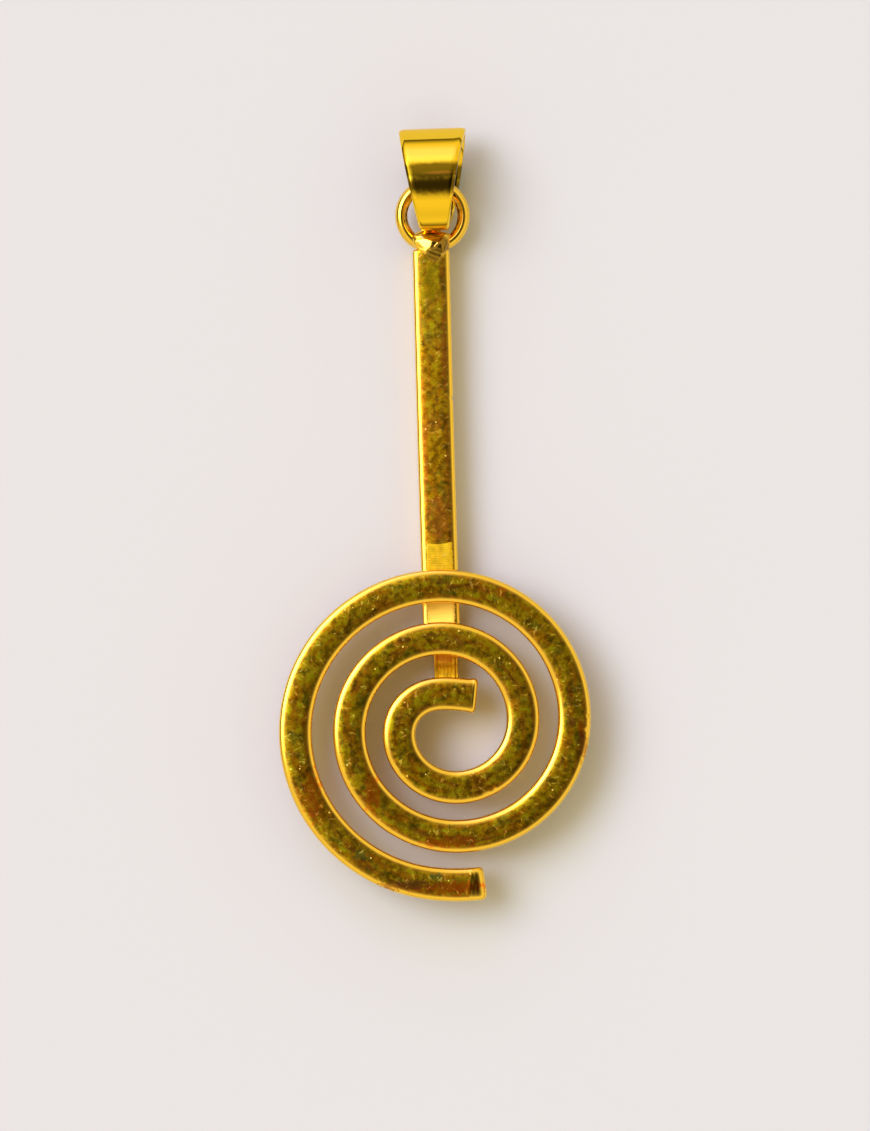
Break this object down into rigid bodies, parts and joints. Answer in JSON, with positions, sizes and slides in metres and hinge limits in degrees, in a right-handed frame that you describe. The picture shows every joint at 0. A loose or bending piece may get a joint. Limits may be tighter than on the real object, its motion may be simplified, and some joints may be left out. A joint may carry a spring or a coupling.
{
  "type": "spiral bar pendant",
  "caption": "Flat spiral of square wire soldered to a straight square bar, hung from a round ring and a tapered folded bail.",
  "frame": {"origin": "under the middle of the pendant's outline seen from the front, on the surface that it lies on", "axes": "+Z is the pendant's front, +Y points along the bar from the spiral to the bail, +X is to the right"},
  "size_m": [0.0248, 0.0616, 0.0063],
  "materials": {
    "spiral_gold": "polished gold plating on brass, with a mottled warm tarnish on the flat faces",
    "bail_gold": "bright polished gold plating on brass"
  },
  "bodies": {
    "root": {"spiral_drop": "spiral_gold", "bail": "bail_gold"}
  },
  "joints": []
}
